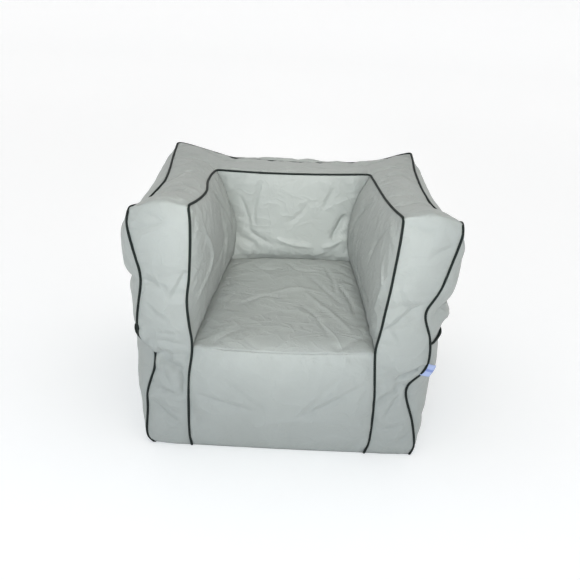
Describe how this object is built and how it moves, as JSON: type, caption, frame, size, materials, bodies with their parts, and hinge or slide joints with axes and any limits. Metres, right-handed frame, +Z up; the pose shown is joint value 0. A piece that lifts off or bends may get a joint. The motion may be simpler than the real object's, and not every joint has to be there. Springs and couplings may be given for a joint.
{
  "type": "bean bag chair",
  "caption": "Armchair-shaped bean bag: a piped light grey fabric cover with arms, back rest, side pockets and a zip at its foot, over a bead-filled liner.",
  "frame": {"origin": "middle of the footprint, on the floor", "axes": "+Z up, the chair faces -Y, +X to the right of someone who looks at its front"},
  "size_m": [0.802, 0.763, 0.6782],
  "materials": {
    "cover_fabric": "light grey plain-woven outdoor polyester, faint sheen, soft creases",
    "piping_fabric": "black woven bias tape over a cord",
    "zip_tape": "dark woven zip tape",
    "zip_teeth": "black nylon coil",
    "zip_metal": "plated die-cast slider, pull and stops",
    "side_label": "blank pale blue folded satin ribbon",
    "care_label": "blank white satin ribbon",
    "liner_fabric": "thin white spunbond",
    "beads": "expanded polystyrene beads"
  },
  "bodies": {
    "cover": {"front_panel": "cover_fabric", "seat_panel": "cover_fabric", "inner_back_panel": "cover_fabric", "inner_arm_panel_left": "cover_fabric", "inner_arm_panel_right": "cover_fabric", "arm_band_left": "cover_fabric", "arm_band_right": "cover_fabric", "back_top_band": "cover_fabric", "side_panel_left": "cover_fabric", "side_panel_right": "cover_fabric", "outer_back_panel": "cover_fabric", "lower_back_panel": "cover_fabric", "base_panel": "cover_fabric", "side_pocket_left": "cover_fabric", "side_pocket_right": "cover_fabric", "inner_piping": "piping_fabric", "outer_piping": "piping_fabric", "pocket_piping_left": "piping_fabric", "pocket_piping_right": "piping_fabric", "zip_tape_upper": "zip_tape", "zip_tape_lower": "zip_tape", "zip_teeth_upper": "zip_teeth", "zip_teeth_lower": "zip_teeth", "zip_top_stops": "zip_metal", "zip_bottom_stop": "zip_metal", "side_label": "side_label", "care_label": "care_label", "liner_walls": "liner_fabric", "liner_base": "liner_fabric", "bead_fill": "beads"},
    "slider": {"zip_slider": "zip_metal"},
    "pull": {"zip_pull": "zip_metal"}
  },
  "joints": [
    {"name": "zip_slide", "type": "slide", "parent": "cover", "child": "slider", "axis": [-1, 0, 0], "range_m": [0, 0.575]},
    {"name": "pull_swing", "type": "hinge", "parent": "slider", "child": "pull", "pos_m": [0.2877, 0.37872, 0.06], "axis": [0, 0, -1], "range_deg": [0, 175]}
  ]
}
